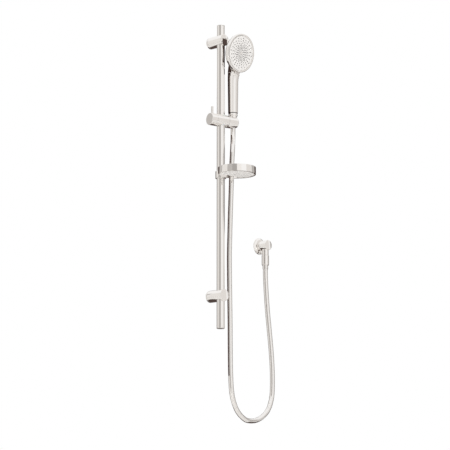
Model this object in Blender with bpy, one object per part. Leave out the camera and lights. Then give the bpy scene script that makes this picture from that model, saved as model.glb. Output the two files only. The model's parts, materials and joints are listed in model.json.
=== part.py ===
"""Shower rail set: handset on a sliding holder, soap dish, hose and wall elbow.

Origin: centre of the upper post's wall plate, on the wall. The wall is the plane Y = 0 and the
set stands in front of it, at negative Y. +Z is up, +X is to the right seen from the room.
Lengths below are in millimetres.
"""
import math

import bmesh
import bpy
from mathutils import Matrix, Vector

# rail and its two posts
RAIL_R, RAIL_WALL, RAIL_Y = 12.0, 1.2, -45.0
RAIL_TOP, RAIL_BOTTOM = 45.3, -870.7
POST_R, POST_END = 17.75, -61.0
LOWER_POST_Z = -775.0
PLATE_T, SPIGOT_R = 5.0, 13.0
GAP = 0.3
MERGE = 0.0001

# slider: u runs along its cylinder, from the rail's axis towards the handset
SLIDER_Z, SLIDER_R, SWIVEL = -247.7, 18.3, -10.0
KNOB_END, SEAM_LEFT, SEAM_RIGHT, HOLDER_END = -41.2, -20.3, 20.6, 54.5
SOCKET_U, SLOT_HALF = 45.0, 7.9
PIN_U, PIN_R, PIN_TOP = -31.4, 3.5, 40.2

# handset, in its own frame: handle up +Z, spray towards -Y
HANDLE_Z, HANDSET_TURN = -219.0, 3.0
FACE_R, FACE_TILT, FACE_Y, FACE_Z = 58.4, 12.0, -34.0, 181.7
NUT_LEN, NUT_FLANGE_R = 43.0, 13.5

# soap dish
DISH_TOP, DISH_BOTTOM, DISH_R, DISH_OUT, DISH_TURN = -403.0, -424.4, 55.7, 73.1, -5.0
TRAY_EDGE = 43.0

# wall elbow
ELBOW_X, ELBOW_Z, ELBOW_END, FLANGE_R, BARREL_R, PIPE_Y, PIPE_R = (
    213.0, -597.4, -39.6, 25.5, 15.0, -26.0, 9.75)

# hose
HOSE_R = 7.2
HOSE_ROUTE = [
    (44.3, -52.8, -242), (44.3, -52.8, -254), (44.3, -52.8, -268), (42.4, -54.4, -285),
    (37, -59.2, -300.7), (28.6, -67, -313.7), (20.1, -74.5, -326.7), (14.6, -79.1, -342.4),
    (12.2, -80.3, -359.4), (11.4, -79.5, -382), (11, -79, -408), (10, -78.2, -452),
    (9.2, -76.5, -508), (10.9, -73, -549), (14.8, -67.5, -600), (19.3, -61.5, -655),
    (24.4, -57, -720), (28.3, -54.3, -787), (30.8, -53, -847),
    (33.2, -51.5, -935), (36.5, -50, -1010), (44.5, -48.5, -1066), (65.5, -47, -1107),
    (98, -45, -1130.5), (127, -43, -1135), (158, -41, -1130.5), (188, -39, -1116.5),
    (212, -37, -1095), (227.5, -35, -1064), (234, -33, -1030), (235, -32, -977),
    (231.2, -31, -916), (224.7, -30, -856), (218.6, -28.5, -796), (214.6, -27, -735),
    (213.2, -26, -695), (213, -26, -672), (213, -26, -650.5)]


def clear_scene():
    for obj in list(bpy.data.objects):
        bpy.data.objects.remove(obj, do_unlink=True)


def frame(x=0.0, y=0.0, z=0.0, turn=0.0):
    """A frame at a point in millimetres, turned about Z by a number of degrees."""
    return Matrix.Translation(Vector((x, y, z)) * 0.001) @ Matrix.Rotation(
        math.radians(turn), 4, "Z")


WALL_UP = frame()
WALL_LOW = frame(0, 0, LOWER_POST_Z)
RAIL = frame(0, RAIL_Y, 0)
SLIDER = frame(0, RAIL_Y, SLIDER_Z, SWIVEL)
HANDSET = SLIDER @ frame(SOCKET_U, 0, HANDLE_Z - SLIDER_Z, HANDSET_TURN - SWIVEL)
HEAD = HANDSET @ frame(0, FACE_Y, FACE_Z) @ Matrix.Rotation(math.radians(FACE_TILT), 4, "X")
DISH = frame(0, RAIL_Y, (DISH_TOP + DISH_BOTTOM) / 2, DISH_TURN)
ELBOW = frame(ELBOW_X, 0, ELBOW_Z)
OUTLET = ELBOW @ frame(0, PIPE_Y, 0)
ALONG_Y = Matrix.Rotation(math.radians(-90), 4, "X")   # local +Z becomes +Y
ALONG_U = Matrix.Rotation(math.radians(90), 4, "Y")    # local +Z becomes +X


def paint(obj, colour, metallic=0.0, roughness=0.4):
    mat = bpy.data.materials.new(obj.name)
    mat.use_nodes = True
    shader = mat.node_tree.nodes["Principled BSDF"]
    shader.inputs["Base Color"].default_value = (*colour, 1)
    shader.inputs["Metallic"].default_value = metallic
    shader.inputs["Roughness"].default_value = roughness
    mat.diffuse_color = (*colour, 1)
    obj.data.materials.append(mat)


CHROME = dict(colour=(0.80, 0.80, 0.81), metallic=1.0, roughness=0.12)
STEEL = dict(colour=(0.55, 0.55, 0.56), metallic=1.0, roughness=0.35)
BRASS = dict(colour=(0.70, 0.52, 0.25), metallic=1.0, roughness=0.35)
WHITE = dict(colour=(0.86, 0.86, 0.85), roughness=0.5)
GREY = dict(colour=(0.45, 0.46, 0.47), roughness=0.6)
RUBBER = dict(colour=(0.05, 0.05, 0.05), roughness=0.7)
FROST = dict(colour=(0.78, 0.79, 0.79), roughness=0.55)


def finish(name, bm, place, look=None):
    """The object of a mesh drawn in millimetres in the frame `place`. No look makes a cutter."""
    bmesh.ops.remove_doubles(bm, verts=bm.verts, dist=MERGE)
    bmesh.ops.recalc_face_normals(bm, faces=bm.faces)
    bm.transform(Matrix.Scale(0.001, 4))
    mesh = bpy.data.meshes.new(name)
    bm.to_mesh(mesh)
    bm.free()
    mesh.shade_smooth()
    mesh.set_sharp_from_angle(angle=math.radians(30))
    obj = bpy.data.objects.new(name, mesh)
    bpy.context.collection.objects.link(obj)
    obj.matrix_world = place
    if look:
        paint(obj, **look)
    else:
        obj.hide_render = True
        obj.display_type = "WIRE"
    return obj


def turned(name, profile, place, look=None, steps=28, axis=None, inset=(0, 0, 0)):
    """A profile of (radius, height) turned about local Z. It is closed unless it starts and
    ends on the axis. `axis` then turns the piece, and `inset` moves it."""
    bm = bmesh.new()
    verts = [bm.verts.new((radius, 0, height)) for radius, height in profile]
    ends = verts[:1] if profile[0][0] or profile[-1][0] else []
    edges = [bm.edges.new(pair) for pair in zip(verts, verts[1:] + ends)]
    bmesh.ops.spin(bm, geom=verts + edges, axis=(0, 0, 1), cent=(0, 0, 0),
                   angle=2 * math.pi, steps=steps, use_merge=True)
    if axis is not None:
        bm.transform(axis)
    bm.transform(Matrix.Translation(Vector(inset)))
    return finish(name, bm, place, look)


def tube(outer, inner, low, high):
    """Profile of a plain tube."""
    return [(outer, low), (outer, high), (inner, high), (inner, low)]


def rod(radius, low, high, chamfer=0.0):
    """Profile of a round bar, its ends chamfered if asked."""
    if not chamfer:
        return [(0, low), (radius, low), (radius, high), (0, high)]
    return [(0, low), (radius - chamfer, low), (radius, low + chamfer),
            (radius, high - chamfer), (radius - chamfer, high), (0, high)]


def loft(name, sections, place, look=None, steps=28):
    """Round sections (z, y, radius) joined from the bottom up, ends closed."""
    bm = bmesh.new()
    loops = []
    for z, y, radius in sections:
        at = Matrix.Translation((0, y, z))
        circle = bmesh.ops.create_circle(bm, segments=steps, radius=radius, matrix=at)
        loops.append({edge for vert in circle["verts"] for edge in vert.link_edges})
    for low, high in zip(loops, loops[1:]):
        bmesh.ops.bridge_loops(bm, edges=list(low | high))
    bmesh.ops.holes_fill(bm, edges=list(loops[0] | loops[-1]), sides=steps)
    return finish(name, bm, place, look)


def block(name, low, high, place, look=None):
    """A box between two corners."""
    low, high = Vector(low), Vector(high)
    size = Matrix.Diagonal((*(high - low), 1))
    bm = bmesh.new()
    bmesh.ops.create_cube(bm, size=1, matrix=Matrix.Translation((low + high) / 2) @ size)
    return finish(name, bm, place, look)


def boolean(obj, other, operation="DIFFERENCE"):
    mod = obj.modifiers.new(other.name, "BOOLEAN")
    mod.operation = operation
    mod.solver = "EXACT"
    mod.object = other


def drill(obj, name, radius, low, high, place, axis=None, inset=(0, 0, 0), steps=20):
    boolean(obj, turned(name, rod(radius, low, high), place, None, steps, axis, inset))


def rail():
    inner = RAIL_R - RAIL_WALL
    turned("rail_tube", tube(RAIL_R, inner, RAIL_BOTTOM, RAIL_TOP), RAIL, CHROME)
    plug = inner - GAP
    for name, z, way in (("rail_top_cap", RAIL_TOP, 1), ("rail_bottom_cap", RAIL_BOTTOM, -1)):
        turned(name, [(0, z + way * 2.3), (RAIL_R - 0.8, z + way * 2.3), (RAIL_R, z + way * 1.5),
                      (RAIL_R, z + way * GAP), (plug, z + way * GAP), (plug, z - way * 12),
                      (plug - 2, z - way * 12), (plug - 2, z - way * 1), (0, z - way * 1)],
               RAIL, CHROME)


def post(side, place):
    """One wall plate with its spigot, the round post over it and the grub screw between them."""
    plate = turned(side + "_wall_plate",
                   [(0, 0), (POST_R - 0.3, 0), (POST_R - 0.3, -PLATE_T), (SPIGOT_R, -PLATE_T),
                    (SPIGOT_R, -22), (10, -22), (10, -PLATE_T), (0, -PLATE_T)],
                   place, STEEL, 32, ALONG_Y)
    for k, x in enumerate((-6.2, 6.2)):
        drill(plate, f"{side}_screw_hole_{k}", 2.2, -8, 3, place, ALONG_Y, (x, 0, 0), 16)
    body = turned(side + "_post",
                  [(SPIGOT_R + GAP, -PLATE_T - GAP), (POST_R, -PLATE_T - GAP),
                   (POST_R, POST_END + 0.9), (POST_R - 0.9, POST_END), (0, POST_END),
                   (0, -27), (SPIGOT_R + GAP, -27)], place, CHROME, 32, ALONG_Y)
    drill(body, side + "_rail_bore", RAIL_R + GAP, -30, 30, place, None, (0, RAIL_Y, 0), 28)
    drill(body, side + "_grub_bore", 2.4, -20, -11, place, None, (0, -14, 0), 16)
    turned(side + "_grub_screw", [(0, -13.3), (2, -13.3), (2, -17.2), (1.1, -17.2), (1.1, -15.2),
                                  (0, -15.2)], place, STEEL, 16, None, (0, -14, 0))


def slider():
    bush = turned("slider_bush", tube(13.6, RAIL_R + GAP, -16, 16), SLIDER, WHITE)
    boolean(bush, block("bush_window", (-20, -11.5, -4.6), (-5, 11.5, 4.6), SLIDER))
    body = turned("slider_body", rod(SLIDER_R, SEAM_LEFT + GAP, SEAM_RIGHT, 0.4), SLIDER, CHROME,
                  36, ALONG_U)
    drill(body, "body_rail_bore", 13.9, -30, 30, SLIDER, None, (0, 0, 0), 32)
    drill(body, "body_axial_bore", 4.4, -30, 30, SLIDER, ALONG_U)
    drill(body, "body_washer_seat", 9.2, 18.4, 30, SLIDER, ALONG_U)
    turned("friction_washer", tube(8.9, 4.4, 18.7, 20.7), SLIDER, RUBBER, 24, ALONG_U)
    turned("holder_axle", rod(4.0, 14.3, 30.6), SLIDER, STEEL, 20, ALONG_U)

    knob = turned("clamp_knob", rod(SLIDER_R, KNOB_END, SEAM_LEFT, 0.9), SLIDER, CHROME, 36,
                  ALONG_U)
    drill(knob, "knob_screw_bore", 4.4, -36, 0, SLIDER, ALONG_U)
    drill(knob, "knob_pin_bore", PIN_R + GAP, 11, 30, SLIDER, None, (PIN_U, 0, 0), 20)
    turned("clamp_screw", rod(4.0, -35.7, -16.4, 0.4), SLIDER, STEEL, 20, ALONG_U)
    turned("lever_pin", [(0, 11.3), (PIN_R, 11.3), (PIN_R, PIN_TOP - 1.2),
                         (PIN_R - 1.2, PIN_TOP), (0, PIN_TOP)], SLIDER, CHROME, 20, None,
           (PIN_U, 0, 0))
    turned("clamp_pad", rod(4.1, -15.7, -12.4, 0.3), SLIDER, RUBBER, 20, ALONG_U)

    holder = turned("holder", [(0, SEAM_RIGHT + 0.4), (SLIDER_R - 0.4, SEAM_RIGHT + 0.4),
                               (SLIDER_R, SEAM_RIGHT + 0.8), (SLIDER_R, HOLDER_END - 2.5),
                               (SLIDER_R - 0.8, HOLDER_END - 0.8), (SLIDER_R - 2.5, HOLDER_END),
                               (0, HOLDER_END)], SLIDER, CHROME, 36, ALONG_U)
    drill(holder, "holder_axle_bore", 4.4, 10, 31, SLIDER, ALONG_U)
    low, high = -24.0, 24.0
    boolean(holder, turned("socket_cone", [(0, low), (cone_radius(low) + GAP, low),
                                           (cone_radius(high) + GAP, high), (0, high)],
                           SLIDER, None, 32, None, (SOCKET_U, 0, 0)))
    boolean(holder, block("socket_slot", (SOCKET_U, -SLOT_HALF, -30), (70, SLOT_HALF, 30),
                          SLIDER))


def cone_radius(z):
    """Radius of the hose nut's cone at a height z above the slider's axis."""
    top, bottom = HANDLE_Z - SLIDER_Z - 9.5, HANDLE_Z - SLIDER_Z - NUT_LEN
    return 9.7 + (11.5 - 9.7) * (z - bottom) / (top - bottom)


def hose_top():
    turned("cone_nut", [(10.0, -0.6), (NUT_FLANGE_R - 0.5, -0.6), (NUT_FLANGE_R, -1.1),
                        (NUT_FLANGE_R, -7.5), (11.5, -9.5), (9.7, -NUT_LEN), (8.5, -NUT_LEN),
                        (8.5, -19.5), (10.0, -19.5)], HANDSET, CHROME)
    turned("upper_washer", tube(9.6, 5.0, -14.9, -12.6), HANDSET, RUBBER, 24)
    turned("upper_ferrule", [(4.6, -15.4), (9.5, -15.4), (9.5, -19.1), (8.2, -19.1),
                             (8.2, -44.5), (HOSE_R + GAP, -44.5), (HOSE_R + GAP, -22),
                             (4.6, -22)], HANDSET, STEEL, 24)


def handset():
    shell = loft("handle_shell", [(0, 0, 14.2), (0.6, 0, 14.7), (60, 0, 15.35), (112, 0, 16),
                                  (130, -0.6, 16), (150, -3.4, 15.7), (166, -7.6, 14.4),
                                  (178, -12, 12)], HANDSET, CHROME, 28)
    dome = [(0, 12.2), (57.8, 12.2), (57.5, 15), (54.5, 19.3), (47, 23), (34, 25.6), (18, 26.9),
            (0, 27.3)]
    boolean(shell, turned("head_dome", dome, HEAD, None, 40, ALONG_Y), "UNION")
    inner_dome = [(0, 8), (55.2, 8), (55.2, 14.6), (52.6, 17.4), (45.8, 20.6), (33.5, 23.2),
                  (18, 24.5), (0, 24.9)]
    boolean(shell, turned("head_front_cut", rod(66.5, -30, 11.9), HEAD, None, 32, ALONG_Y))
    boolean(shell, turned("head_hollow", inner_dome, HEAD, None, 32, ALONG_Y))
    boolean(shell, loft("handle_hollow", [(-3, 0, 12.6), (50, 0, 12.8), (104, 0, 13.4),
                                          (117, 3.0, 10.2), (148, 0, 9.4), (164, -4.6, 8.6),
                                          (172, -9, 7)], HANDSET, None, 20))
    turned("handle_spigot", [(6.6, -12), (9.3, -12), (9.7, -11.4), (9.7, 0.6), (12.2, 0.6),
                             (12.2, 14), (6.6, 14)], HANDSET, BRASS, 24)
    turned("water_tube", tube(6.2, 4.8, 1, 112), HANDSET, WHITE, 20)
    turned("water_chamber", [(40, 9.4), (40, 20.4), (0, 20.4), (0, 18.2), (4.6, 18.2),
                             (4.6, 14.8), (8, 14.8), (8, 18), (37.6, 18), (37.6, 9.4)],
           HEAD, WHITE, 28, ALONG_Y)
    turned("chamber_seal", tube(37.2, 35.2, 11.0, 13.0), HEAD, RUBBER, 28, ALONG_Y)
    turned("spray_face", [(5.4, 0.6), (44, 0.6), (50.5, 1.2), (52.1, 1.8), (52.1, 4.2),
                          (5.4, 4.2)], HEAD, WHITE, 40, ALONG_Y)
    turned("nozzle_mat", [(3, 4.6), (50, 4.6), (50, 5.6), (3, 5.6)], HEAD, GREY, 32, ALONG_Y)
    turned("face_ring", [(52.5, 0), (55.5, -0.6), (57.6, 0), (FACE_R, 1.2), (FACE_R, 7.2),
                         (FACE_R - 0.5, 7.7), (52.5, 7.7)], HEAD, CHROME, 44, ALONG_Y)
    turned("centre_screw", [(0, 0.2), (4.4, 0.2), (5.1, 0.8), (5.1, 3.6), (2.6, 3.6), (2.6, 14.4),
                            (0, 14.4)], HEAD, CHROME, 20, ALONG_Y)


def selector():
    ring = turned("selector_ring", tube(56.4, 53.0, 8.0, 11.6), HEAD, CHROME, 40, ALONG_Y)
    boolean(ring, block("selector_tab", (-4.5, 8.3, -65.5), (4.5, 11.3, -55.0), HEAD), "UNION")
    disc = turned("diverter_disc", tube(34.9, 3.0, 9.0, 12.4), HEAD, WHITE, 32, ALONG_Y)
    for k in range(3):
        angle = math.radians(83 + 120 * k)
        drill(disc, f"diverter_port_{k}", 5.3, 3, 17, HEAD, ALONG_Y,
              (20 * math.cos(angle), 0, 20 * math.sin(angle)), 18)


def dish():
    half = (DISH_TOP - DISH_BOTTOM) / 2
    turned("dish_bush", tube(13.3, RAIL_R + GAP, -half, half), DISH, WHITE)
    carrier = turned("dish_carrier", [(DISH_R, -half), (DISH_R, half), (DISH_R - 1.6, half),
                                      (DISH_R - 1.6, -half + 1.4), (DISH_R - 4.6, -half + 1.4),
                                      (DISH_R - 4.6, -half)], DISH, CHROME, 48, None,
                     (0, -DISH_OUT, 0))
    boolean(carrier, turned("dish_collar", rod(16.0, -half, half), DISH, None, 28), "UNION")
    boolean(carrier, block("dish_neck", (-8, -20.5, -half + 2), (8, -8, half - 2), DISH),
            "UNION")
    drill(carrier, "dish_bore", 13.6, -half - 5, half + 5, DISH, None, (0, 0, 0), 28)
    edge = DISH_R - 2.2
    tray = turned("dish_tray", [(0, -half + 1.8), (edge - 0.8, -half + 1.8), (edge, -half + 2.6),
                                (edge, -half + 8), (edge - 2.4, -half + 8),
                                (edge - 2.4, -half + 4.6), (0, -half + 4.6)], DISH, FROST, 40,
                  None, (0, -DISH_OUT, 0))
    boolean(tray, block("tray_cut", (-80, -TRAY_EDGE, -40), (80, 20, 40), DISH))
    drill(tray, "tray_drain", 3.6, -30, 30, DISH, None, (1, -DISH_OUT - 41, 0))


def elbow():
    turned("elbow_flange", [(13.4, 0), (FLANGE_R, 0), (FLANGE_R, -2), (FLANGE_R - 1.2, -3.6),
                            (BARREL_R + 4, -6), (13.4, -6)], ELBOW, CHROME, 36, ALONG_Y)
    body = turned("elbow_body", [(13.1, 0), (13.1, -6.3), (BARREL_R, -6.3),
                                 (BARREL_R, ELBOW_END + 0.9), (BARREL_R - 0.9, ELBOW_END),
                                 (0, ELBOW_END), (0, -32), (5.5, -32), (5.5, -21), (8.6, -21),
                                 (8.6, -12), (9.6, -12), (9.6, 0)], ELBOW, CHROME, 36, ALONG_Y)
    boolean(body, turned("elbow_pipe", [(0, -11), (PIPE_R, -11), (PIPE_R, -29.9), (9.2, -30.4),
                                        (9.2, -43), (0, -43)], OUTLET, None, 32), "UNION")
    drill(body, "elbow_way", 5.2, -50, 0, OUTLET)
    turned("check_valve", tube(8.2, 3.5, -20.6, -12.4), ELBOW, WHITE, 24, ALONG_Y)
    turned("elbow_nut", [(9.6, -30.9), (10.6, -30.9), (11, -31.5), (11, -60.3), (10.4, -61),
                         (8.6, -61), (8.6, -50), (9.6, -50)], OUTLET, CHROME, 32)
    turned("lower_washer", tube(9.2, 5.2, -45.8, -43.5), OUTLET, RUBBER, 24)
    turned("lower_ferrule", [(4.6, -46.3), (9.2, -46.3), (9.2, -49.5), (8.3, -49.5),
                             (8.3, -72.5), (HOSE_R + GAP, -72.5), (HOSE_R + GAP, -52.5),
                             (4.6, -52.5)], OUTLET, STEEL, 24)


def smooth_route(stops, spacing):
    """Points about `spacing` apart on a Catmull-Rom curve through the stops."""
    stops = [Vector(p) for p in stops]
    padded = [2 * stops[0] - stops[1]] + stops + [2 * stops[-1] - stops[-2]]
    fine = []
    for a, b, c, d in zip(padded, padded[1:], padded[2:], padded[3:]):
        for k in range(12):
            t = k / 12
            fine.append(0.5 * (2 * b + (c - a) * t + (2 * a - 5 * b + 4 * c - d) * t * t
                               + (3 * b - a - 3 * c + d) * t ** 3))
    fine.append(stops[-1])
    total = sum((b - a).length for a, b in zip(fine, fine[1:]))
    count = round(total / spacing)
    points, run, goal = [fine[0]], 0.0, total / count
    for a, b in zip(fine, fine[1:]):
        step = (b - a).length
        while len(points) < count and run + step >= goal * len(points):
            points.append(a.lerp(b, (goal * len(points) - run) / step))
        run += step
    return points + [fine[-1]]


def hose():
    curve = bpy.data.curves.new("hose", "CURVE")
    curve.dimensions = "3D"
    curve.bevel_depth = HOSE_R * 0.001
    curve.bevel_resolution = 2
    curve.use_fill_caps = True
    points = smooth_route(HOSE_ROUTE, 28.0)
    spline = curve.splines.new("POLY")
    spline.points.add(len(points) - 1)
    for slot, point in zip(spline.points, points):
        slot.co = (*(point * 0.001), 1)
    spline.use_smooth = True
    obj = bpy.data.objects.new("hose", curve)
    bpy.context.collection.objects.link(obj)
    paint(obj, (0.72, 0.72, 0.73), 0.6, 0.25)


clear_scene()
rail()
post("upper", WALL_UP)
post("lower", WALL_LOW)
slider()
hose_top()
handset()
selector()
dish()
elbow()
hose()
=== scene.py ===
"""Looks of the shower rail set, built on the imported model.

Every length in an outline is in millimetres, in the frame of the piece that it belongs to. Those
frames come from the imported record's joints, so a piece lands where its CAD solid is.
"""
import json
import math

import bmesh
import bpy
import numpy as np
from mathutils import Matrix, Vector


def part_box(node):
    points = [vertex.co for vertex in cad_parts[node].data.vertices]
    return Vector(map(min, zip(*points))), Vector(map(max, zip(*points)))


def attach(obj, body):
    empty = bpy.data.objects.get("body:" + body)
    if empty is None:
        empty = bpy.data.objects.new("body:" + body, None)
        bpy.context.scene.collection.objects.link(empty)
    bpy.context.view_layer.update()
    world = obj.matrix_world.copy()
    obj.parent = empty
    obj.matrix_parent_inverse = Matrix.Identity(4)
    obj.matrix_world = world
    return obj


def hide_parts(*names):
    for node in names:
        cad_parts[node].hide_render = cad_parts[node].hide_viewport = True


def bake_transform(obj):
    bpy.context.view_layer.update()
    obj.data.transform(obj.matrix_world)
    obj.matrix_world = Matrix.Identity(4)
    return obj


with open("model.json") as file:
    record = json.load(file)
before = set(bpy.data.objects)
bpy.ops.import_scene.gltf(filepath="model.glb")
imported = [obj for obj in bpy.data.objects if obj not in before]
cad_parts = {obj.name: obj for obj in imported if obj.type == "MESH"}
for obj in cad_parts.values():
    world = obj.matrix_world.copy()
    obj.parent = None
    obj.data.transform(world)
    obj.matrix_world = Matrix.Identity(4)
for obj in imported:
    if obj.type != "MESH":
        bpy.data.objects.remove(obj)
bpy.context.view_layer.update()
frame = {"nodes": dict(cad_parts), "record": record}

# ---------------------------------------------------------------- frames and driving sizes

MM = 0.001
JOINTS = {joint["name"]: joint for joint in frame["record"]["behaviour"]["joints"]}


def middle(node):
    low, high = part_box(node)
    return (Vector(low) + Vector(high)) / 2


def place(origin, z_axis=(0, 0, 1), x_axis=(1, 0, 0)):
    """Millimetre frame at a point in metres, with its Z and as near as can be its X given."""
    z = Vector(z_axis).normalized()
    y = z.cross(Vector(x_axis)).normalized()
    turn = Matrix((y.cross(z), y, z)).transposed().to_4x4()
    return Matrix.Translation(Vector(origin)) @ turn @ Matrix.Scale(MM, 4)


OUT, UP = Vector((0, -1, 0)), Vector((0, 0, 1))      # out of the wall, and along the rail
RAIL_R, RAIL_TOP, RAIL_FOOT = 12, 45.3, -870.7
RAIL_OUT = 45                # from the wall to the rail's axis
POST_R, POST_DEEP = 17.75, 61
BARREL_R = 18.3              # clamp, slider and holder are one round bar
SOCKET_OUT = 45              # from the rail's axis to the handset's
RING_OUT = 73.1              # from the rail's axis to the dish ring's middle
RAIL_AT, FLANGE_AT = middle("rail_tube"), middle("elbow_flange")
CLAMP_AXIS = Vector(JOINTS["clamp_turn"]["axis"])    # along the slider, towards the handset
CLAMP_POINT = Vector(JOINTS["clamp_turn"]["pos_m"])
FACE_AXIS = Vector(JOINTS["spray_selector"]["axis"])
NUT_POINT = Vector(JOINTS["cone_nut_turn"]["pos_m"])
OUTLET_POINT = Vector(JOINTS["elbow_nut_turn"]["pos_m"])
DISH_YAW = math.radians(-5)

RAIL = place((RAIL_AT.x, RAIL_AT.y, 0))
POSTS = {side: place((0, 0, middle(side + "_post").z), OUT, UP) for side in ("upper", "lower")}
SLIDER = place(CLAMP_POINT, CLAMP_AXIS, UP)          # Z along the slider, X up
SLIDER_UP = place(CLAMP_POINT, UP, CLAMP_AXIS)
HEAD = place(JOINTS["spray_selector"]["pos_m"], -FACE_AXIS, UP)   # Z back through the head
HANDLE = place((NUT_POINT.x, NUT_POINT.y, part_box("handle_shell")[0].z), UP,
               (-FACE_AXIS.y, FACE_AXIS.x, 0))
DISH = place(JOINTS["dish_swivel"]["pos_m"], UP, (math.cos(DISH_YAW), math.sin(DISH_YAW), 0))
RING = DISH @ Matrix.Translation((0, -RING_OUT, 0))
ELBOW = place((FLANGE_AT.x, 0, FLANGE_AT.z), OUT, UP)
OUTLET = place((OUTLET_POINT.x, OUTLET_POINT.y, FLANGE_AT.z))

# ---------------------------------------------------------------- camera

CAMERA_AT = Vector((-3.6248, -3.5985, -1.5110))
CAMERA_UP, CAMERA_LEFT = math.radians(10.56), math.radians(-45.71)
FOCAL, SENSOR = 139.76, 36.0


def add_camera():
    data = bpy.data.cameras.new("camera")
    data.lens, data.sensor_width = FOCAL, SENSOR
    data.clip_end = 50
    camera = bpy.data.objects.new("camera", data)
    camera.location = CAMERA_AT
    camera.rotation_euler = (math.pi / 2 + CAMERA_UP, 0, CAMERA_LEFT)
    bpy.context.collection.objects.link(camera)
    bpy.context.scene.camera = camera


add_camera()

# ---------------------------------------------------------------- making materials


def colour(text):
    """sRGB hex to the linear colour that a shader takes."""
    parts = [int(text[k:k + 2], 16) / 255 for k in (1, 3, 5)]
    return (*[c / 12.92 if c <= 0.04045 else ((c + 0.055) / 1.055) ** 2.4 for c in parts], 1)


def add(tree, kind, **inputs):
    """A node and its inputs, each of them a value, or a socket that is linked to it."""
    made = tree.nodes.new(kind)
    for name, value in inputs.items():
        socket = made.inputs[name.replace("_", " ")]
        if isinstance(value, bpy.types.NodeSocket):
            tree.links.new(value, socket)
        else:
            socket.default_value = value
    return made


def new_material(name, base, metallic, roughness):
    mat = bpy.data.materials.new(name)
    mat.use_nodes = True
    shader = mat.node_tree.nodes["Principled BSDF"]
    shader.inputs["Base Color"].default_value = colour(base)
    shader.inputs["Metallic"].default_value = metallic
    shader.inputs["Roughness"].default_value = roughness
    mat.diffuse_color = colour(base)
    return mat, mat.node_tree, shader


def set_shader(mat, **values):
    """Plain values on the material's shader."""
    shader = mat.node_tree.nodes["Principled BSDF"]
    for name, value in values.items():
        shader.inputs[name.replace("_", " ")].default_value = value


def per_metre(millimetres):
    """Noise scale whose grains are about so many millimetres apart."""
    return 1 / (millimetres * MM)


def grained(name, base, metallic, rough, grain, rise=0.0, stretch=(1, 1, 1)):
    """A surface whose roughness moves between two values in grains of so many millimetres,
    and which rises by up to `rise` millimetres with them."""
    mat, tree, shader = new_material(name, base, metallic, sum(rough) / 2)
    where = add(tree, "ShaderNodeTexCoord").outputs["Object"]
    spot = add(tree, "ShaderNodeMapping", Vector=where, Scale=stretch).outputs["Vector"]
    noise = add(tree, "ShaderNodeTexNoise", Vector=spot, Scale=per_metre(grain), Detail=4.0)
    level = add(tree, "ShaderNodeMapRange", Value=noise.outputs["Fac"], From_Min=0.3,
                From_Max=0.7, To_Min=rough[0], To_Max=rough[1])
    tree.links.new(level.outputs["Result"], shader.inputs["Roughness"])
    if rise:
        bump = add(tree, "ShaderNodeBump", Distance=rise * MM, Height=noise.outputs["Fac"])
        tree.links.new(bump.outputs["Normal"], shader.inputs["Normal"])
    return mat


# electroplated brass: a warm mirror, with the faintest drying marks in its gloss
CHROME = grained("polished chrome plate", "#f4f1ee", 1.0, (0.04, 0.08), 14)
# plated moulding: the same mirror, but very slightly wavy where the plastic shrank
PLATED = grained("chrome-plated ABS", "#f2efec", 1.0, (0.05, 0.09), 22, rise=0.02)
# turned on a lathe and left: dull, with rings too fine to count that stretch its highlights
STEEL = grained("machined stainless steel", "#b9b7b3", 1.0, (0.26, 0.4), 0.5, rise=0.004,
                stretch=(1, 6, 1))
# stainless polished on a buffing wheel: nearly a mirror, its gloss a little streaked
POLISHED = grained("polished stainless steel", "#e9e6e3", 1.0, (0.09, 0.15), 5,
                   stretch=(1, 4, 1))
# turned brass: yellow, softly shining, a little blotchy from handling
BRASS = grained("turned brass", "#c79f58", 1.0, (0.24, 0.38), 3)
# moulded acetal: milky white with a waxy, slightly uneven gloss
ACETAL = grained("moulded white acetal", "#e8e6e1", 0.0, (0.38, 0.5), 4)
set_shader(ACETAL, Subsurface_Weight=0.08, Subsurface_Scale=0.002)
# moulded black rubber: flat black with a powdery bloom
RUBBER = grained("moulded black rubber", "#191817", 0.0, (0.62, 0.8), 1.2, rise=0.02)
# moulded silicone: dark grey, soft and nearly without shine
SILICONE = grained("moulded grey silicone", "#575351", 0.0, (0.48, 0.62), 0.8, rise=0.008)
# pale engineering plastic from a finely sparked mould: satin, its glints broken up
FACE_PLASTIC = grained("satin moulded face plastic", "#f7f5f3", 0.0, (0.26, 0.38), 0.5, rise=0.01)
# styrene from a blasted mould: milky, its sheen evenly broken
FROST = grained("frosted styrene", "#f6f4f2", 0.0, (0.42, 0.55), 0.7, rise=0.004)
set_shader(FROST, IOR=1.58)

# ---------------------------------------------------------------- making pieces

BODY_OF = {node: body for body, nodes in frame["record"]["behaviour"]["bodies"].items()
           for node in nodes}
ARC = 5                      # edges in a rounded corner
MERGE = 0.0001               # points closer than this, in millimetres, are one
SHARP = math.radians(32)     # a steeper fold than this is an edge in the shading


def to_object(name, bm):
    mesh = bpy.data.meshes.new(name)
    bm.to_mesh(mesh)
    bm.free()
    mesh.shade_smooth()
    mesh.set_sharp_from_angle(angle=SHARP)
    obj = bpy.data.objects.new(name, mesh)
    bpy.context.collection.objects.link(obj)
    return obj


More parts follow.
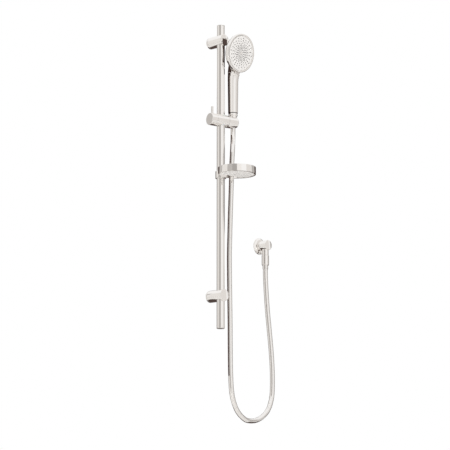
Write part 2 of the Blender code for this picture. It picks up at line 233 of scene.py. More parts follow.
def rounded(outline):
    """Corners of (radius, height) or (radius, height, fillet), each fillet made an arc."""
    corners = [Vector(corner[:2]) for corner in outline]
    points = []
    for k, corner in enumerate(outline):
        here, before, after = corners[k], corners[k - 1], corners[(k + 1) % len(corners)]
        if len(corner) < 3:
            points.append(here)
            continue
        back, ahead = (before - here).normalized(), (after - here).normalized()
        half = back.angle(ahead) / 2
        centre = here + (back + ahead).normalized() * corner[2] / math.sin(half)
        start = here + back * corner[2] / math.tan(half) - centre
        end = here + ahead * corner[2] / math.tan(half) - centre
        whole = start.angle(end)
        for step in range(ARC + 1):
            turn = whole * step / ARC
            points.append(centre + (start * math.sin(whole - turn) + end * math.sin(turn))
                          / math.sin(whole))
    return points


def spun(bm, outline, steps):
    """Adds the rounded outline to a mesh, spun once round Z."""
    verts = [bm.verts.new((point.x, 0, point.y)) for point in rounded(outline)]
    closing = verts[:1] if outline[0][0] or outline[-1][0] else []
    edges = [bm.edges.new(pair) for pair in zip(verts, verts[1:] + closing)]
    bmesh.ops.spin(bm, geom=verts + edges, axis=(0, 0, 1), cent=(0, 0, 0), angle=2 * math.pi,
                   steps=steps, use_merge=True)


def lathe(name, outline, at, steps=128):
    """A turned piece: its outline in millimetres about the frame's Z."""
    bm = bmesh.new()
    spun(bm, outline, steps)
    bmesh.ops.remove_doubles(bm, verts=bm.verts, dist=MERGE)
    bmesh.ops.recalc_face_normals(bm, faces=bm.faces)
    bm.transform(at)
    return to_object(name, bm)


def drilled(radius, low, high, at, steps=64):
    """A plain round cutter."""
    return lathe("cutter", [(0, low), (radius, low), (radius, high), (0, high)], at, steps)


def box(name, low, high, at, fillet=0.0):
    """A box between two corners in millimetres, its edges rounded."""
    low, high = Vector(low), Vector(high)
    bm = bmesh.new()
    bmesh.ops.create_cube(bm, size=1, matrix=Matrix.Translation((low + high) / 2)
                          @ Matrix.Diagonal((*(high - low), 1)))
    if fillet:
        bmesh.ops.bevel(bm, geom=bm.edges[:], offset=fillet, affect="EDGES", segments=3,
                        profile=0.5, material=-1)
    bmesh.ops.recalc_face_normals(bm, faces=bm.faces)
    bm.transform(at)
    return to_object(name, bm)


def apply_modifiers(obj):
    bpy.context.view_layer.update()
    solid = obj.evaluated_get(bpy.context.evaluated_depsgraph_get())
    mesh = bpy.data.meshes.new_from_object(solid)
    obj.modifiers.clear()
    obj.data = mesh


def combine(obj, other, operation="DIFFERENCE"):
    """Cuts the other solid away, or joins it on, and removes it."""
    made = obj.modifiers.new("combine", "BOOLEAN")
    made.operation, made.solver, made.object = operation, "EXACT", other
    apply_modifiers(obj)
    obj.data.shade_smooth()
    obj.data.set_sharp_from_angle(angle=SHARP)
    bpy.data.objects.remove(other, do_unlink=True)


def edges_broken(obj, width):
    """The sharp edges left by cutting, broken by so many millimetres."""
    made = obj.modifiers.new("broken edges", "BEVEL")
    made.width, made.segments, made.limit_method = width * MM, 2, "ANGLE"
    made.angle_limit = math.radians(40)
    made.harden_normals = True


def finish(obj, material, *nodes):
    """Gives a piece its material, and lets it stand for its CAD nodes on their body."""
    obj.data.materials.clear()
    obj.data.materials.append(material)
    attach(obj, BODY_OF[nodes[0]])
    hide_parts(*nodes)


# ---------------------------------------------------------------- rail and posts


def build_rail():
    bore = RAIL_R - 1.2
    finish(lathe("rail", [(RAIL_R, RAIL_FOOT, 0.3), (RAIL_R, RAIL_TOP, 0.3), (bore, RAIL_TOP, 0.2),
                          (bore, RAIL_FOOT, 0.2)], RAIL), CHROME, "rail_tube")
    for name, end, way in (("top", RAIL_TOP, 1), ("bottom", RAIL_FOOT, -1)):
        cap = lathe(name + "_cap", [(0, end + way * 2.3), (RAIL_R, end + way * 2.3, 1.1),
                                    (RAIL_R, end + way * 0.3, 0.2), (10.5, end + way * 0.3),
                                    (10.5, end - way * 12, 0.4), (8.5, end - way * 12, 0.3),
                                    (8.5, end - way), (0, end - way)], RAIL)
        finish(cap, PLATED, f"rail_{name}_cap")


def build_post(side):
    at = POSTS[side]
    body = lathe(side + "_post_body", [(13.3, 5.3, 0.2), (POST_R, 5.3, 0.5),
                                       (POST_R, POST_DEEP, 1.0), (0, POST_DEEP), (0, 27),
                                       (13.3, 27)], at)
    rail_hole = place(at @ Vector((0, 0, RAIL_OUT)))
    combine(body, drilled(RAIL_R + 0.3, -30, 30, rail_hole, 96))
    grub_hole = place(at @ Vector((0, 0, 14)))
    combine(body, drilled(2.4, -20, -11, grub_hole))
    finish(body, CHROME, side + "_post")
    rim = POST_R - 0.3
    plate = lathe(side + "_plate", [(0, 0), (rim, 0, 0.2), (rim, 5, 0.4), (13, 5),
                                    (13, 22, 0.4), (10, 22, 0.3), (10, 5), (0, 5)], at)
    screw_hole = [(0, -1), (2.2, -1), (2.2, 3.4), (4.0, 5.2), (4.0, 8), (0, 8)]
    for shift in (-6.2, 6.2):
        combine(plate, lathe("cutter", screw_hole, at @ Matrix.Translation((0, shift, 0)), 48))
    finish(plate, POLISHED, side + "_wall_plate")


build_rail()
build_post("upper")
build_post("lower")

# ---------------------------------------------------------------- slider


def cone_radius(height):
    """Radius of the hose nut's cone at a height above the slider's axis."""
    return 9.7 + 1.8 * (height + 14.3) / 33.5


def build_slider():
    body = lathe("slider_barrel", [(0, -20), (BARREL_R, -20, 0.5), (BARREL_R, 20.6, 0.5),
                                   (0, 20.6)], SLIDER)
    combine(body, drilled(13.9, -30, 30, SLIDER_UP, 96))
    combine(body, lathe("cutter", [(0, -30), (4.4, -30), (4.4, 18.4), (9.2, 18.4), (9.2, 30),
                                   (0, 30)], SLIDER, 64))
    finish(body, CHROME, "slider_body")


def build_clamp():
    knob = lathe("clamp_barrel", [(0, -41.2), (BARREL_R, -41.2, 1.2), (BARREL_R, -20.3, 0.5),
                                  (0, -20.3)], SLIDER)
    combine(knob, drilled(4.4, -36, 0, SLIDER))
    pin_at = SLIDER_UP @ Matrix.Translation((-31.4, 0, 0))
    combine(knob, drilled(3.8, 11, 30, pin_at))
    finish(knob, CHROME, "clamp_knob")
    pin = lathe("lever", [(0, 11.3), (3.5, 11.3, 0.4), (3.5, 40.2, 1.5), (0, 40.2)], pin_at, 64)
    finish(pin, CHROME, "lever_pin")


def build_holder():
    holder = lathe("holder_barrel", [(0, 21), (BARREL_R, 21, 0.5), (BARREL_R, 54.5, 2.6),
                                     (0, 54.5)], SLIDER)
    socket_at = SLIDER_UP @ Matrix.Translation((SOCKET_OUT, 0, 0))
    cone = [(0, -24), (cone_radius(-24) + 0.3, -24), (cone_radius(24) + 0.3, 24), (0, 24)]
    combine(holder, lathe("cutter", cone, socket_at, 96))
    combine(holder, box("cutter", (SOCKET_OUT, -7.9, -30), (70, 7.9, 30), SLIDER_UP))
    combine(holder, drilled(4.4, 10, 31, SLIDER))
    edges_broken(holder, 0.5)
    finish(holder, CHROME, "holder")


build_slider()
build_clamp()
build_holder()

# ---------------------------------------------------------------- handset


def build_hose_top():
    nut = lathe("handset_nut", [(10, -0.6), (13.5, -0.6, 0.5), (13.5, -7.5, 0.7), (11.5, -9.5),
                                (9.7, -43, 0.5), (8.5, -43), (8.5, -19.5), (10, -19.5)], HANDLE)
    finish(nut, CHROME, "cone_nut")
    ferrule = lathe("handset_ferrule", [(4.6, -15.4), (9.5, -15.4, 0.2), (9.5, -19.1), (8.2, -19.1),
                                        (8.2, -44.5, 0.4), (7.5, -44.5, 0.1), (7.5, -22),
                                        (4.6, -22)], HANDLE, 96)
    finish(ferrule, POLISHED, "upper_ferrule")


HANDLE_LINE = [(-2, 0, 14.6), (60, 0, 15.35), (112, 0, 16), (130, -0.6, 16), (150, -3.4, 15.7),
               (166, -7.6, 14.4), (178, -12, 12), (190, -17, 9)]   # height, lean, radius
HANDLE_TOP = 176             # where the handle ends inside the head
DOME_R, DOME_DEEP = 58.0, 27.3
MELT = 16.0                  # how far from the joint of the two the surface is melted


def shell_distance(points):
    """How far each point (rows, in the handle's millimetres) is outside the handset's shell:
    the handle and the head's dome, melted into one another where they meet."""
    heights, leans, radii = np.array(HANDLE_LINE).T
    z = points[:, 2]
    handle = np.hypot(points[:, 0], points[:, 1] - np.interp(z, heights, leans)) - np.interp(
        z, heights, radii)
    handle = np.maximum(handle, z - HANDLE_TOP)
    to_head = np.array(HEAD.inverted() @ HANDLE)
    head = points @ to_head[:3, :3].T + to_head[:3, 3]
    across = np.hypot(head[:, 0], head[:, 1]) / DOME_R
    deep = np.maximum(head[:, 2], 0) / DOME_DEEP
    dome = ((across ** 3 + deep ** 3 + 1e-9) ** (1 / 3) - 1) * DOME_DEEP
    mix = np.clip(0.5 + 0.5 * (dome - handle) / MELT, 0, 1)
    return dome * (1 - mix) + handle * mix - MELT * mix * (1 - mix)


def settle(obj, rounds=6, step=0.05):
    """Moves each point onto the shell's true surface, down the slope found over that step."""
    points = np.empty(len(obj.data.vertices) * 3)
    obj.data.vertices.foreach_get("co", points)
    to_world = np.array(HANDLE)
    to_handle = np.array(HANDLE.inverted())
    points = points.reshape(-1, 3) @ to_handle[:3, :3].T + to_handle[:3, 3]
    for _ in range(rounds):
        here = shell_distance(points)
        slope = np.stack([(shell_distance(points + step * way) - here) / step
                          for way in np.eye(3)], axis=1)
        points -= slope * (here / np.maximum((slope ** 2).sum(axis=1), 0.2))[:, None]
    points = points @ to_world[:3, :3].T + to_world[:3, 3]
    obj.data.vertices.foreach_set("co", points.ravel())
    obj.data.update()


def rough_shell():
    """The handle's cones and the head's dome, still passing through one another."""
    bm = bmesh.new()
    for low, high in zip(HANDLE_LINE, HANDLE_LINE[1:]):
        length = math.hypot(high[0] - low[0], high[1] - low[1])
        lean = Matrix.Rotation(math.atan2(low[1] - high[1], high[0] - low[0]), 4, "X")
        bmesh.ops.create_cone(bm, cap_ends=True, segments=48, radius1=low[2], radius2=high[2],
                              depth=length + 2, matrix=Matrix.Translation(
                                  (0, (low[1] + high[1]) / 2, (low[0] + high[0]) / 2)) @ lean)
    head = bmesh.new()
    spun(head, [(0, 0), (DOME_R, 0), (57.5, 13), (52, 20), (40, 25), (20, 27), (0, DOME_DEEP)], 64)
    bmesh.ops.recalc_face_normals(head, faces=head.faces)
    head.transform(HANDLE.inverted() @ HEAD)
    dome = bpy.data.meshes.new("dome")
    head.to_mesh(dome)
    head.free()
    bm.from_mesh(dome)
    bpy.data.meshes.remove(dome)
    bm.transform(HANDLE)
    return to_object("handset_shell", bm)


def build_shell():
    """The handle and head in one: a rough solid, re-meshed evenly and settled on its surface."""
    shell = rough_shell()
    even = shell.modifiers.new("even", "REMESH")
    even.mode, even.voxel_size = "VOXEL", 1.1 * MM
    soft = shell.modifiers.new("soft", "SMOOTH")
    soft.iterations = 8
    apply_modifiers(shell)
    settle(shell)
    front = [(0, -30), (66.5, -30), (66.5, 11.9), (55.2, 11.9), (55.2, 14.6), (52.6, 17.4),
             (45.8, 20.6), (33.5, 23.2), (18, 24.5), (0, 24.9)]
    combine(shell, lathe("cutter", front, HEAD))
    combine(shell, drilled(60, -20, 1.0, HANDLE))
    combine(shell, drilled(12.5, -5, 108, HANDLE))
    finish(shell, PLATED, "handle_shell")
    foot = lathe("foot_ring", [(12.3, -0.4, 0.1), (13.7, -0.4, 0.3), (13.7, 1.0, 0.1),
                               (12.3, 1.0)], HANDLE, 96)
    foot.data.materials.append(RUBBER)
    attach(foot, "handset")


def build_selector():
    ring = lathe("selector", [(53, 8, 0.2), (56.4, 8, 0.3), (56.4, 11.6, 0.3), (53, 11.6, 0.2)],
                 HEAD)
    tab = box("tab", (-65.4, -4.4, 8.3), (-55, 4.4, 11.3), HEAD, 0.9)
    combine(ring, tab, "UNION")
    for shift in (-2.6, 0, 2.6):
        ridge = HEAD @ Matrix.Translation((0, shift, 8.35)) @ Matrix.Rotation(
            math.radians(-90), 4, "Y")
        rib = lathe("ridge", [(0, 58.6), (0.55, 58.6, 0.3), (0.55, 64.4, 0.3), (0, 64.4)],
                    ridge, 16)
        combine(ring, rib, "UNION")
    finish(ring, PLATED, "selector_ring")


SPOKES, SPOKE_RADII, SPOKE_SHIFT = 24, (30.5, 38, 45.5), 3.2
INNER_RINGS = ((9.5, 9), (14, 13), (18.5, 17), (23, 21))


def nozzle_spots():
    """Where the nozzles stand on the face: spokes of three outside, four rings inside."""
    spots = []
    for spoke in range(SPOKES):
        angle = 2 * math.pi * spoke / SPOKES
        spots += [(radius - SPOKE_SHIFT * (spoke % 2), angle) for radius in SPOKE_RADII]
    for radius, count in INNER_RINGS:
        spots += [(radius, 2 * math.pi * (k + 0.5) / count) for k in range(count)]
    return [(radius * math.cos(angle), radius * math.sin(angle), 0) for radius, angle in spots]


def copies(name, outline, spots, at, steps):
    """One mesh of the same small turned shape at each of the spots."""
    one = bmesh.new()
    spun(one, outline, steps)
    bmesh.ops.remove_doubles(one, verts=one.verts, dist=MERGE)
    bmesh.ops.recalc_face_normals(one, faces=one.faces)
    pattern = bpy.data.meshes.new("pattern")
    one.to_mesh(pattern)
    one.free()
    bm = bmesh.new()
    for spot in spots:
        done = len(bm.verts)
        bm.from_mesh(pattern)
        bm.verts.ensure_lookup_table()
        bmesh.ops.translate(bm, verts=bm.verts[done:], vec=spot)
    bpy.data.meshes.remove(pattern)
    bm.transform(at)
    return to_object(name, bm)


def build_face():
    bezel = lathe("bezel", [(52.2, 0.4, 0.1), (54.6, -0.1, 0.6), (58.4, -0.5, 2.2),
                            (58.4, 7.7, 0.5), (52.2, 7.7)], HEAD)
    finish(bezel, PLATED, "face_ring")
    spots = nozzle_spots()
    plate = lathe("spray_plate", [(5.4, 0.6, 0.2), (48, 0.6), (52.1, 0.9, 0.2),
                                  (52.1, 4.2), (5.4, 4.2)], HEAD)
    hole = [(0, -2), (1.5, -2), (1.5, 6), (0, 6)]
    combine(plate, copies("cutter", hole, spots, HEAD, 16))
    finish(plate, FACE_PLASTIC, "spray_face")
    stud = [(0.45, 4.9), (1.2, 4.9), (1.2, 0.1), (0.9, -0.3), (0.45, -0.3)]
    nozzles = copies("nozzles", stud, spots, HEAD, 12)
    finish(nozzles, SILICONE, "nozzle_mat")
    mat = lathe("mat", [(3, 4.6), (50, 4.6), (50, 5.6), (3, 5.6)], HEAD)
    mat.data.materials.append(SILICONE)
    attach(mat, "handset")
    centre = lathe("centre_disc", [(0, 0.1), (5.1, 0.1, 0.5), (5.1, 3.6, 0.3), (2.6, 3.6),
                                   (2.6, 14.4), (0, 14.4)], HEAD, 96)
    finish(centre, PLATED, "centre_screw")


build_hose_top()
build_shell()
build_selector()
build_face()

# ---------------------------------------------------------------- soap dish


def build_dish():
    ring = lathe("dish_ring", [(55.7, -10.7, 0.5), (55.7, 10.7, 0.5), (54.1, 10.7, 0.5),
                               (54.1, -9.3), (51.1, -9.3, 0.3), (51.1, -10.7, 0.4)], RING, 192)
    combine(ring, lathe("collar", [(0, -10.7), (16, -10.7, 0.6), (16, 10.7, 0.6), (0, 10.7)],
                        DISH), "UNION")
    combine(ring, box("neck", (-8, -20.5, -8.7), (8, -8, 8.7), DISH), "UNION")
    combine(ring, drilled(13.6, -20, 20, DISH, 96))
    edges_broken(ring, 0.3)
    finish(ring, CHROME, "dish_carrier")

    tray = lathe("soap_tray", [(0, -8.9), (53.5, -8.9, 0.8), (53.5, -2.7, 0.6), (51.1, -2.7, 0.6),
                               (51.1, -6.1, 0.8), (0, -6.1)], RING, 160)
    for k in range(4):
        rib = box("rib", (-44, -22 + 14 * k, -6.4), (44, -19.6 + 14 * k, -4.6), RING, 0.6)
        combine(tray, rib, "UNION")
    combine(tray, drilled(3.6, -20, 20, RING @ Matrix.Translation((1, -41, 0)), 48))
    combine(tray, box("cutter", (-80, -43, -40), (80, 30, 40), DISH))
    edges_broken(tray, 0.4)
    finish(tray, FROST, "dish_tray")


build_dish()

# ---------------------------------------------------------------- wall elbow


def build_elbow():
    flange = lathe("wall_flange", [(13.4, 0), (25.5, 0, 0.2), (25.5, 2.4, 0.9), (22.4, 3.3, 2.5),
                                   (19.6, 6, 0.6), (13.4, 6, 0.2)], ELBOW)
    finish(flange, CHROME, "elbow_flange")
    body = lathe("elbow_barrel", [(13.1, 0), (13.1, 6.3), (15, 6.3, 0.2), (15, 39.6, 1.0),
                                  (0, 39.6), (0, 32), (5.5, 32), (5.5, 21), (8.6, 21),
                                  (8.6, 12), (9.6, 12), (9.6, 0, 0.3)], ELBOW)
    pipe = lathe("pipe", [(0, -11), (9.75, -11), (9.75, -29.9, 0.4), (9.2, -30.4), (9.2, -43, 0.3),
                          (0, -43)], OUTLET)
    combine(body, pipe, "UNION")
    combine(body, drilled(5.2, -50, 0, OUTLET))
    finish(body, CHROME, "elbow_body")
    nut = lathe("outlet_nut", [(9.6, -30.9), (11, -30.9, 0.5), (11, -61, 0.8), (8.6, -61),
                               (8.6, -50), (9.6, -50)], OUTLET)
    finish(nut, CHROME, "elbow_nut")
    ferrule = lathe("outlet_ferrule", [(4.6, -46.3), (9.2, -46.3, 0.2), (9.2, -49.5), (8.3, -49.5),
                                       (8.3, -72.5, 0.5), (7.5, -72.5, 0.1), (7.5, -52.5),
                                       (4.6, -52.5)], OUTLET, 96)
    finish(ferrule, POLISHED, "lower_ferrule")


build_elbow()

# ---------------------------------------------------------------- hose

HOSE_WIDTH = 0.0144
HOSE_ROUTE = [
    (44.3, -52.8, -242), (44.3, -52.8, -254), (44.3, -52.8, -268), (42.4, -54.4, -285),
    (37, -59.2, -300.7), (28.6, -67, -313.7), (20.1, -74.5, -326.7), (14.6, -79.1, -342.4),
    (12.2, -80.3, -359.4), (11.4, -79.5, -382), (11, -79, -408), (10, -78.2, -452),
    (9.2, -76.5, -508), (10.9, -73, -549), (14.8, -67.5, -600), (19.3, -61.5, -655),
    (24.4, -57, -720), (28.3, -54.3, -787), (30.8, -53, -847),
    (33.2, -51.5, -935), (36.5, -50, -1010), (44.5, -48.5, -1066), (65.5, -47, -1107),
    (98, -45, -1130.5), (127, -43, -1135), (158, -41, -1130.5), (188, -39, -1116.5),
    (212, -37, -1095), (227.5, -35, -1064), (234, -33, -1030), (235, -32, -977),
    (231.2, -31, -916), (224.7, -30, -856), (218.6, -28.5, -796), (214.6, -27, -735),
    (213.2, -26, -695), (213, -26, -672), (213, -26, -650.5)]
HOSE_ROUTE = [Vector(point) * MM for point in HOSE_ROUTE]
HOSE_CUTS = (0.024, 0.080, 0.144)    # runs from the top where one stretch ends and the next starts
HOSE_STEP, HOSE_SIDES = 0.006, 32
# each stretch, with the bodies listed for its upper and its lower end, which nothing below reads
HOSE_STRETCHES = (("hose_in_socket", "handset", "holder"), ("hose_below_socket", "holder", "slider"),
                  ("hose_shoulder", "slider", "slider_sleeve"), ("hose", "slider_sleeve", "root"))


def smooth(stops, pieces=24):
    """Catmull-Rom curve through the stops, with that many points to each span."""
    padded = [2 * stops[0] - stops[1], *stops, 2 * stops[-1] - stops[-2]]
    points = []
    for a, b, c, d in zip(padded, padded[1:], padded[2:], padded[3:]):
        for k in range(pieces):
            t = k / pieces
            points.append(0.5 * (2 * b + (c - a) * t + (2 * a - 5 * b + 4 * c - d) * t * t
                                 + (3 * b - a - 3 * c + d) * t ** 3))
    return [*points, stops[-1]]


def runs_along(points):
    """How far along the line each point is."""
    runs = [0.0]
    for a, b in zip(points, points[1:]):
        runs.append(runs[-1] + (b - a).length)
    return runs


def at_run(points, runs, run):
    """The point that far along the line."""
    k = next((k for k in range(1, len(runs) - 1) if runs[k] >= run), len(runs) - 1)
    share = (run - runs[k - 1]) / (runs[k] - runs[k - 1])
    return points[k - 1].lerp(points[k], min(1.0, max(0.0, share)))


def even(points, step, stops=()):
    """Points about a step apart, with one exactly at each of the stops, and their runs."""
    runs = runs_along(points)
    marks = [0.0, *stops, runs[-1]]
    wanted = [0.0]
    for low, high in zip(marks, marks[1:]):
        count = max(1, round((high - low) / step))
        wanted += [low + (high - low) * (k + 1) / count for k in range(count)]
    return [at_run(points, runs, run) for run in wanted], wanted


def hose_rings(points):
    """The two directions across the hose at each point, carried along it without a twist."""
    across = Vector((1, 0, 0))
    rings = []
    for k in range(len(points)):
        ahead = (points[min(k + 1, len(points) - 1)] - points[max(k - 1, 0)]).normalized()
        across = (across - ahead * across.dot(ahead)).normalized()
        rings.append((across, ahead.cross(across)))
    return rings


def hose_stretch(name, points, rings, runs, capped):
    """One stretch of the hose, its UV map laid round it and along it in hose widths."""
    bm = bmesh.new()
    loops = []
    for centre, (side, other) in zip(points, rings):
        loops.append([bm.verts.new(centre + HOSE_WIDTH / 2 * (
            side * math.cos(2 * math.pi * k / HOSE_SIDES)
            + other * math.sin(2 * math.pi * k / HOSE_SIDES))) for k in range(HOSE_SIDES)])
    uv = bm.loops.layers.uv.new("along the hose")
    for row, (low, high) in enumerate(zip(loops, loops[1:])):
        for k in range(HOSE_SIDES):
            n = (k + 1) % HOSE_SIDES
            face = bm.faces.new((low[k], low[n], high[n], high[k]))
            spots = ((k, row), (k + 1, row), (k + 1, row + 1), (k, row + 1))
            for loop, (turn, at) in zip(face.loops, spots):
                loop[uv].uv = (turn / HOSE_SIDES, runs[at] / HOSE_WIDTH)
    for loop, wanted in ((loops[0], capped[0]), (loops[-1], capped[1])):
        if wanted:
            bm.faces.new(loop)
    bmesh.ops.recalc_face_normals(bm, faces=bm.faces)
    return to_object(name, bm)


def silver_pvc():
    """Clear PVC over a silver film: a soft mirror, with the film's fine wrap just showing."""
    mat, tree, shader = new_material("silver PVC hose skin", "#f0edea", 0.95, 0.16)
    where = add(tree, "ShaderNodeTexCoord").outputs["UV"]
    # along the hose the film's wrap comes round about every 3 mm
    turned = add(tree, "ShaderNodeMapping", Vector=where, Rotation=(0, 0, math.radians(70)),
                 Scale=(2.9, 2.9, 1))
    wrap = add(tree, "ShaderNodeTexWave", Vector=turned.outputs["Vector"], Scale=0.5)
    tone = add(tree, "ShaderNodeMapRange", Value=wrap.outputs["Fac"], To_Min=0.08, To_Max=0.13)
    tree.links.new(tone.outputs["Result"], shader.inputs["Roughness"])
    rise = add(tree, "ShaderNodeBump", Strength=0.03, Distance=0.0002,
               Height=wrap.outputs["Fac"])
    tree.links.new(rise.outputs["Normal"], shader.inputs["Normal"])
    set_shader(mat, Coat_Weight=0.6, Coat_Roughness=0.05)
    return mat


def build_hose():
    points, runs = even(smooth(HOSE_ROUTE), HOSE_STEP, HOSE_CUTS)
    rings = hose_rings(points)
    cuts = [min(range(len(runs)), key=lambda k: abs(runs[k] - cut)) for cut in HOSE_CUTS]
    first, last = [0, *cuts], [*cuts, len(points) - 1]
    skin = silver_pvc()
    for (name, upper, lower), a, b in zip(HOSE_STRETCHES, first, last):
        span = slice(a, b + 1)
        top, bottom = a == 0, b == len(points) - 1
        obj = hose_stretch(name + "_run", points[span], rings[span], runs[span], (top, bottom))
        obj.data.materials.append(skin)
        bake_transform(obj)
    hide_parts("hose")


build_hose()

# ---------------------------------------------------------------- hidden CAD pieces

CARRIED = {
    STEEL: ("upper_grub_screw", "lower_grub_screw", "clamp_screw", "holder_axle"),
    BRASS: ("handle_spigot",),
    ACETAL: ("slider_bush", "dish_bush", "water_tube", "water_chamber", "diverter_disc",
             "check_valve"),
    RUBBER: ("friction_washer", "clamp_pad", "chamber_seal", "upper_washer", "lower_washer"),
}
for material, nodes in CARRIED.items():
    for name in nodes:
        frame["nodes"][name].data.materials.clear()
        frame["nodes"][name].data.materials.append(material)

# ---------------------------------------------------------------- the room

FLOOR_Z, FLOOR_WIDE, PAINT = -2.1, 120, "#f4f3f1"
MIDDLE = Vector((0.07, -0.06, -0.55))
RIGHT = Vector((math.cos(CAMERA_LEFT), math.sin(CAMERA_LEFT), 0))     # the camera's, level
AWAY = Vector((-RIGHT.y, RIGHT.x, 0))
# boards round the set: degrees from the camera, width in metres, shade
BOARDS = ((-122, 5.2, "#c6c3c0"), (-77, 4.4, "#efedea"), (-44, 3.4, "#c4c1be"),
          (-14, 3.2, "#b2afac"), (14, 2.8, "#f9f7f5"), (77, 4.2, "#e9e6e3"),
          (122, 5.2, "#bbb8b5"))
BOARD_AWAY, BOARD_RAISED, BOARD_HIGH = 6.2, 0.4, 7
# shades of the painted dark reflections: dark glowing cards and strips that only the chrome mirrors
PAINTED_DARK_REFLECTION, PAINTED_BLACK_REFLECTION, PAINTED_BROWN_REFLECTION = "#544844", "#3a2c28", "#46302a"
BACK_GAP = 0.0005            # between a painted reflection strip and its back


def round_the_set(degrees, distance, height):
    """A point so many degrees to the camera's right of the line from the set to the camera."""
    to_camera = (CAMERA_AT - MIDDLE) * Vector((1, 1, 0))
    way = Matrix.Rotation(math.radians(degrees), 4, "Z") @ to_camera.normalized()
    return MIDDLE + way * distance + Vector((0, 0, height))


def shining(shade):
    """A board's surface, that shines evenly in its own shade and takes no light."""
    name = f"studio board {shade}"
    if name not in bpy.data.materials:
        mat, _, _ = new_material(name, "#000000", 0.0, 1.0)
        set_shader(mat, Specular_IOR_Level=0, Emission_Color=colour(shade), Emission_Strength=1)
    return bpy.data.materials[name]


def staged(name, bm, material):
    obj = to_object(name, bm)
    obj.data.materials.append(material)
    return obj


def only_mirrored(obj):
    """The board shows in the chrome and nowhere else, and throws no shadow."""
    obj.visible_camera = obj.visible_diffuse = obj.visible_shadow = False


def card(name, centre, wide, high, material, flat=False):
    """A board that stands facing the set, or lies flat and in line with the camera."""
    to_set = (MIDDLE - Vector(centre)) * Vector((1, 1, 0))
    standing = to_set.to_track_quat("Z", "Y").to_matrix().to_4x4()
    bm = bmesh.new()
    bmesh.ops.create_grid(bm, x_segments=1, y_segments=1, size=0.5)
    bm.transform(Matrix.Translation(centre)
                 @ (Matrix.Rotation(CAMERA_LEFT, 4, "Z") if flat else standing)
                 @ Matrix.Diagonal((wide, high, 1, 1)))
    return staged(name, bm, material)


def strip(name, rows, shade):
    """A glowing board bent along pairs of points, shown only in the chrome: a painted reflection."""
    bm = bmesh.new()
    rows = [[bm.verts.new(point) for point in row] for row in rows]
    for (a, b), (c, d) in zip(rows, rows[1:]):
        bm.faces.new((a, b, d, c))
    only_mirrored(staged(name, bm, shining(shade)))


def painted_reflection_strip(name, line, near, far, shade, back=None):
    """A painted reflection: a glowing strip beside a line of points, between two offsets to the
    camera's right and away.
    A back of another shade, a painted reflection too, stands just to its left."""
    def rows(shift):
        return [[point + RIGHT * (x - shift) + AWAY * y for x, y in (near, far)]
                for point in line]
    strip(name, rows(0), shade)
    if back:
        strip(name + "_back", rows(BACK_GAP), back)


def painted_head_reflection(name, radius, shade):
    """A glowing strip bent round the head's lower left side, that far from its axis: a painted
    reflection on the head.
    """
    rows = []
    for turn in range(14, 51, 6):
        down, left = -radius * math.cos(math.radians(turn)), -radius * math.sin(math.radians(turn))
        rows.append([HEAD @ Vector((down, left, back)) for back in (11, 34)])
    strip(name, rows, shade)


def soft_light(name, at, size, power):
    """A square light that the chrome doesn't mirror."""
    data = bpy.data.lights.new(name, "AREA")
    data.shape, data.size, data.energy = "SQUARE", size, power
    light = bpy.data.objects.new(name, data)
    light.location = at
    light.rotation_euler = (MIDDLE - Vector(at)).to_track_quat("-Z", "Y").to_euler()
    light.visible_glossy = False
    bpy.context.collection.objects.link(light)


def add_boards():
    """The shades that the round pieces mirror, and painted dark reflections low down and behind:
    dark glowing cards that only the chrome mirrors.
    """
    for degrees, wide, shade in BOARDS:
        board = card(f"board_{degrees % 360}", round_the_set(degrees, BOARD_AWAY, BOARD_RAISED),
                     wide, BOARD_HIGH, shining(shade))
        board.visible_camera = False
    # dark glowing cards, one lying low and one standing behind the set, seen only in the chrome:
    # painted dark reflections
    under = round_the_set(180, 1.75, 0)
    under.z = FLOOR_Z + 0.2
    only_mirrored(card("painted_dark_reflection_on_floor", under, 3.2, 2.6, shining(PAINTED_DARK_REFLECTION), flat=True))
    only_mirrored(card("painted_dark_reflection_behind", round_the_set(180, 3.0, -0.55), 6.5, 3.7, shining(PAINTED_DARK_REFLECTION)))


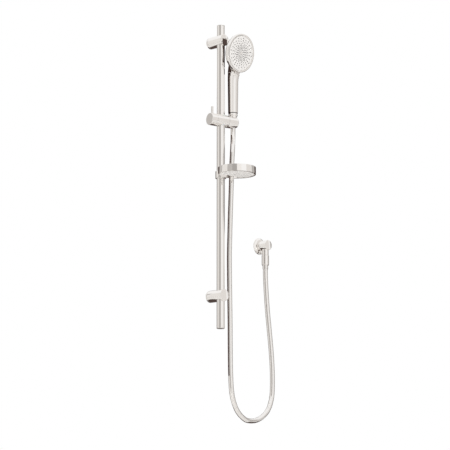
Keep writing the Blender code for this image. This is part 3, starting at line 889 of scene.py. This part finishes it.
def add_painted_reflections():
    """Narrow glowing strips close to the pieces, seen only in the chrome: painted dark and pale
    reflections, for the lines along them.
    """
    handle = [HANDLE @ Vector((0, 0, z)) for z in (0, 175)]
    # painted reflections on the handle: a dark strip with a pale back, a pale strip and a grey strip
    painted_reflection_strip("handle_painted_dark_reflection", handle, (-0.024, -0.016), (-0.038, 0.054), PAINTED_BLACK_REFLECTION, "#dad7d4")
    painted_reflection_strip("handle_painted_pale_reflection", handle, (-0.004, -0.045), (-0.022, -0.024), "#f6f4f2")
    painted_reflection_strip("handle_painted_grey_reflection", handle, (0.018, -0.010), (0.022, 0.012), "#cdc9c6")
    # painted dark reflections along the rail's side
    for name, low, high, near in (("rail_painted_dark_reflection", -66, -14, -0.012),
                                  ("low_rail_painted_dark_reflection", -105, -66, -0.0055)):
        rail = [RAIL @ Vector((0, 0, z)) for z in (low, high)]
        painted_reflection_strip(name, rail, (0.0135, near), (0.0136, 0.010), PAINTED_BLACK_REFLECTION)
    # a painted dark reflection by the post
    post = [RAIL @ Vector((0, 0, z)) for z in (-20, 6)]
    painted_reflection_strip("post_painted_dark_reflection", post, (0.0135, -0.0182), (0.0285, -0.0025), PAINTED_DARK_REFLECTION)
    # a painted dark reflection along the hose beside the rail, with a pale back
    hose, _ = even(smooth(HOSE_ROUTE), 0.02)
    by_the_rail = [point for point in reversed(hose) if -1.02 < point.z < -0.275 and point.x < 0.1]
    painted_reflection_strip("hose_painted_dark_reflection", by_the_rail, (-0.009, -0.011), (-0.014, 0.004), PAINTED_BROWN_REFLECTION, "#e9e6e3")
    # painted reflections round the head's lower left side: a dark strip, and a pale one just outside
    # it
    painted_head_reflection("painted_head_reflection", 66, PAINTED_BLACK_REFLECTION)
    painted_head_reflection("head_painted_pale_reflection", 66.6, "#e2dfdc")


def build_room():
    world = bpy.data.worlds.new("white studio")
    world.use_nodes = True
    world.node_tree.nodes["Background"].inputs["Color"].default_value = (1, 1, 1, 1)
    bpy.context.scene.world = world
    bpy.context.scene.view_settings.view_transform = "Standard"
    paint, _, _ = new_material("pale studio floor", PAINT, 0.0, 1.0)
    card("floor", Vector((0, 0, FLOOR_Z)), FLOOR_WIDE, FLOOR_WIDE, paint, flat=True)
    add_boards()
    add_painted_reflections()
    soft_light("key", round_the_set(-50, 4.0, 2.6), 2.5, 30)
    soft_light("low_fill", round_the_set(10, 3.6, -1.3), 1.4, 26)


build_room()
